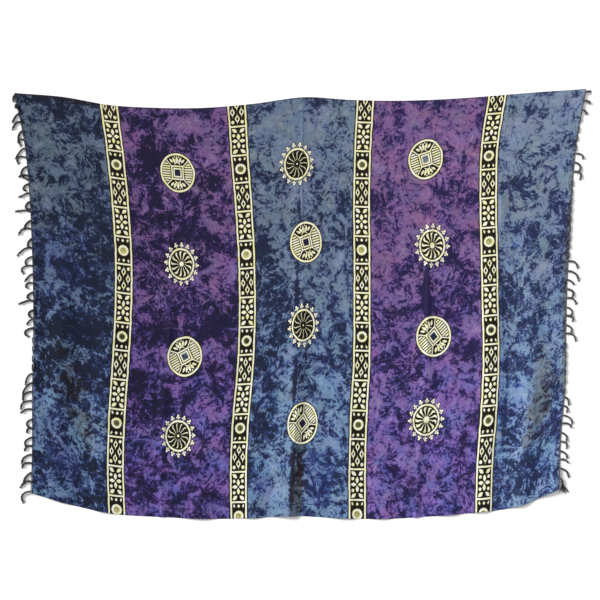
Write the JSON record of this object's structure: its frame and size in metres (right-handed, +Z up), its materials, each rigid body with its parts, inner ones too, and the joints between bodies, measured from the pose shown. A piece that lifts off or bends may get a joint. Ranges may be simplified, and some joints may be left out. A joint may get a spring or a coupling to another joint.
{
  "type": "sarong",
  "caption": "Rectangular length of batik cloth laid out flat, with low folds and a twisted fringe at both short ends.",
  "frame": {"origin": "under the middle of the whole laid cloth with its fringe, on the floor", "axes": "+X along the length towards the right-hand fringe, +Y towards the taut top edge, +Z up from the floor"},
  "size_m": [1.643, 1.2162, 0.0147],
  "materials": {
    "batik_rayon": "soft plain-woven rayon, blue and purple mottled dye, cream and black batik print, on both faces",
    "fringe_yarn": "dark twisted rayon yarn"
  },
  "bodies": {
    "root": {"cloth": "batik_rayon", "fringe_left": "fringe_yarn", "fringe_right": "fringe_yarn"}
  },
  "joints": []
}
